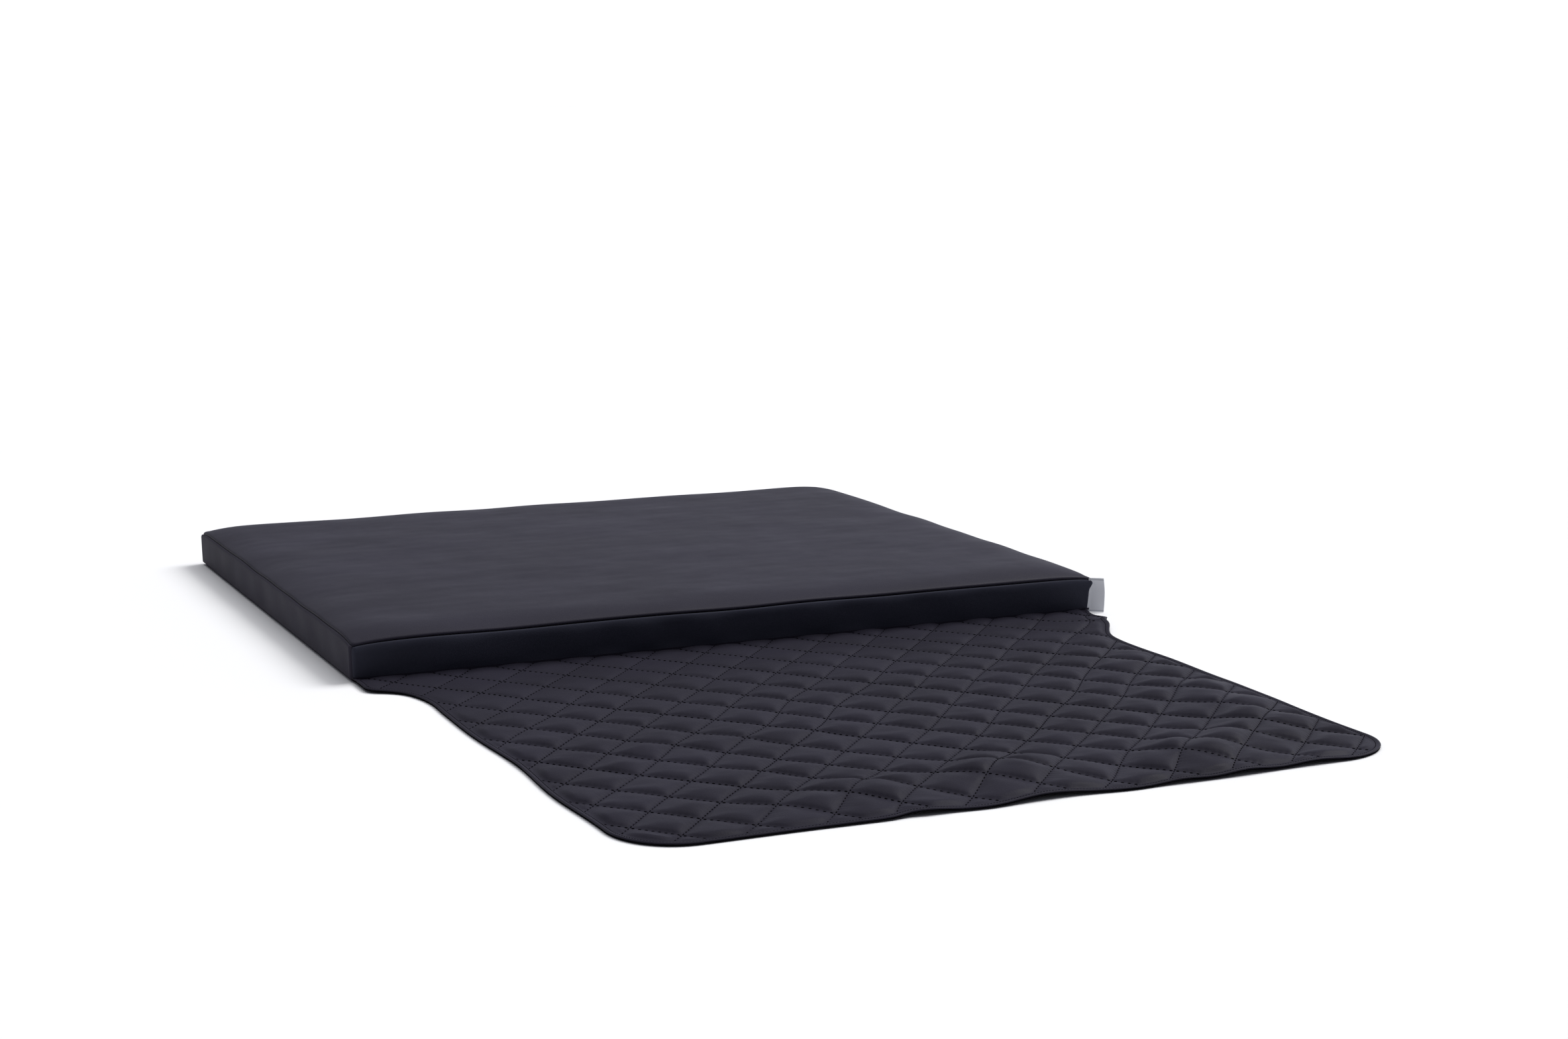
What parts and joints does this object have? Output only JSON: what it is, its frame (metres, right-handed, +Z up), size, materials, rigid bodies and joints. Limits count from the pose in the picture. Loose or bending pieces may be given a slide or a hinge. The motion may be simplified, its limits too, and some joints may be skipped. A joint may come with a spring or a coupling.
{
  "type": "padded floor mat with fold-out apron",
  "caption": "Flat foam mat in a zipped leatherette cover, with a thin diamond-quilted apron that folds out from the bottom front seam or over the top.",
  "frame": {"origin": "middle of the mattress's underside, where it rests on the floor", "axes": "+X along the front edge to the right, seen from the apron; -Y out over the unfolded apron; +Z up"},
  "size_m": [1.0213, 1.6079, 0.0595],
  "materials": {
    "cover_top": "soft matt leatherette, anthracite",
    "cover_side": "soft matt leatherette, anthracite",
    "quilted_face": "diamond-quilted soft leatherette, anthracite",
    "antislip_base": "black anti-slip fabric",
    "foam": "open-cell foam",
    "fleece": "white wadding",
    "zip_tape": "woven black tape",
    "zip_coil": "black nylon",
    "zip_metal": "black lacquered zinc",
    "woven_label": "silver-grey woven satin",
    "thread": "polyester sewing thread"
  },
  "bodies": {
    "mattress": {"top_panel": "cover_top", "front_gusset": "cover_side", "left_gusset": "cover_side", "right_gusset": "cover_side", "back_gusset_left_end": "cover_side", "back_gusset_right_end": "cover_side", "back_gusset_upper_strip": "cover_side", "back_gusset_lower_strip": "cover_side", "base_panel": "antislip_base", "core_wadding": "fleece", "foam_core": "foam", "zip_tape_upper": "zip_tape", "zip_tape_lower": "zip_tape", "zip_coil_upper": "zip_coil", "zip_coil_lower": "zip_coil", "zip_stop_left": "zip_metal", "zip_stop_right": "zip_metal", "side_label": "woven_label", "apron_seam_strip": "quilted_face"},
    "slider": {"zip_slider": "zip_metal"},
    "pull": {"zip_pull": "zip_metal"},
    "riser": {"riser_face": "quilted_face", "riser_wadding": "fleece", "riser_backing": "antislip_base"},
    "apron": {"apron_face": "quilted_face", "apron_wadding": "fleece", "apron_backing": "antislip_base"}
  },
  "joints": [
    {"name": "apron_low_fold", "type": "hinge", "parent": "mattress", "child": "riser", "pos_m": [0, -0.4195, 0.005], "axis": [-1, 0, 0], "range_deg": [-90, 90]},
    {"name": "apron_high_fold", "type": "hinge", "parent": "riser", "child": "apron", "pos_m": [0, -0.4955, 0.00245], "axis": [-1, 0, 0], "range_deg": [-90, 90]},
    {"name": "zip_travel", "type": "slide", "parent": "mattress", "child": "slider", "axis": [-1, 0, 0], "range_m": [0, 0.844]},
    {"name": "zip_pull_swing", "type": "hinge", "parent": "slider", "child": "pull", "pos_m": [0.422, 0.4191, 0.024], "axis": [0, 0, -1], "range_deg": [0, 180]}
  ]
}
